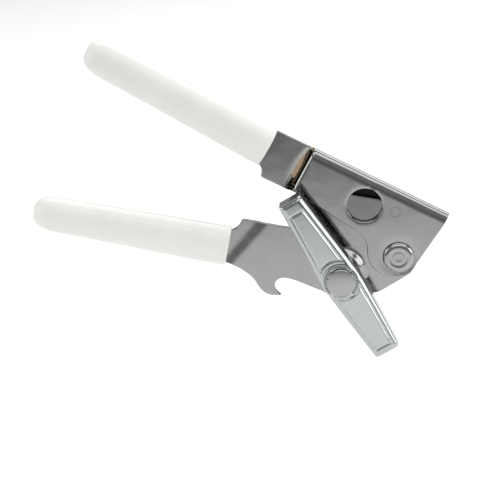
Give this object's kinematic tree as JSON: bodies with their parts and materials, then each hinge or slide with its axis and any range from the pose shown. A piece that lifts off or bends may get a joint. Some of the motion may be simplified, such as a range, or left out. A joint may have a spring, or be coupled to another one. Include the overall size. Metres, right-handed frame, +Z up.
{
  "type": "manual can opener",
  "caption": "Hand-held can opener with two pivoted plated steel handles in white grips, a crank-driven feed wheel and a geared cutting wheel.",
  "frame": {"origin": "centre of the pivot rivet's flat front face, in the plane that the face lies in", "axes": "+X from the grips' ends towards the head, along the opener's length; +Y from the crank's side to the wheels' side; +Z up, towards the upper handle"},
  "size_m": [0.1908, 0.028, 0.1513],
  "materials": {
    "handle_steel": "bright nickel plate over sheet steel",
    "bright_steel": "nickel-plated turned steel",
    "hard_steel": "hardened steel, ground",
    "bronze": "sintered bronze",
    "vinyl": "white vinyl, half gloss"
  },
  "bodies": {
    "upper_body": {"upper_handle": "handle_steel", "upper_grip": "vinyl", "pivot_rivet": "bright_steel", "pivot_washer": "bright_steel", "cutter_stud": "hard_steel", "cutter_thrust_washer": "bright_steel", "cutter_spring_washer": "hard_steel", "cutter_screw": "bright_steel"},
    "lower_body": {"lower_handle": "handle_steel", "lower_grip": "vinyl", "shaft_bushing": "bronze"},
    "crank_body": {"crank_key": "handle_steel", "crank_lock_ring": "bright_steel", "drive_shaft": "bright_steel", "crank_collar": "bright_steel", "crank_spring_washer": "hard_steel", "drive_spacer": "bright_steel", "drive_gear": "hard_steel", "feed_wheel": "hard_steel"},
    "cutter_body": {"cutter_bushing": "bright_steel", "cutter_gear": "hard_steel", "cutting_wheel": "hard_steel"}
  },
  "joints": [
    {"name": "handle_pivot", "type": "hinge", "parent": "upper_body", "child": "lower_body", "pos_m": [0, 0, 0], "axis": [0, -1, 0], "range_deg": [0, 45]},
    {"name": "crank_spin", "type": "hinge", "parent": "lower_body", "child": "crank_body", "pos_m": [-0.02637, 0, -0.007], "axis": [0, 1, 0], "continuous": true},
    {"name": "cutter_spin", "type": "hinge", "parent": "upper_body", "child": "cutter_body", "pos_m": [-0.02499, 0, 0.01095], "axis": [0, 1, 0], "continuous": true}
  ],
  "couplings": [
    {"joint": "cutter_spin", "follows": "crank_spin", "ratio": -1}
  ]
}
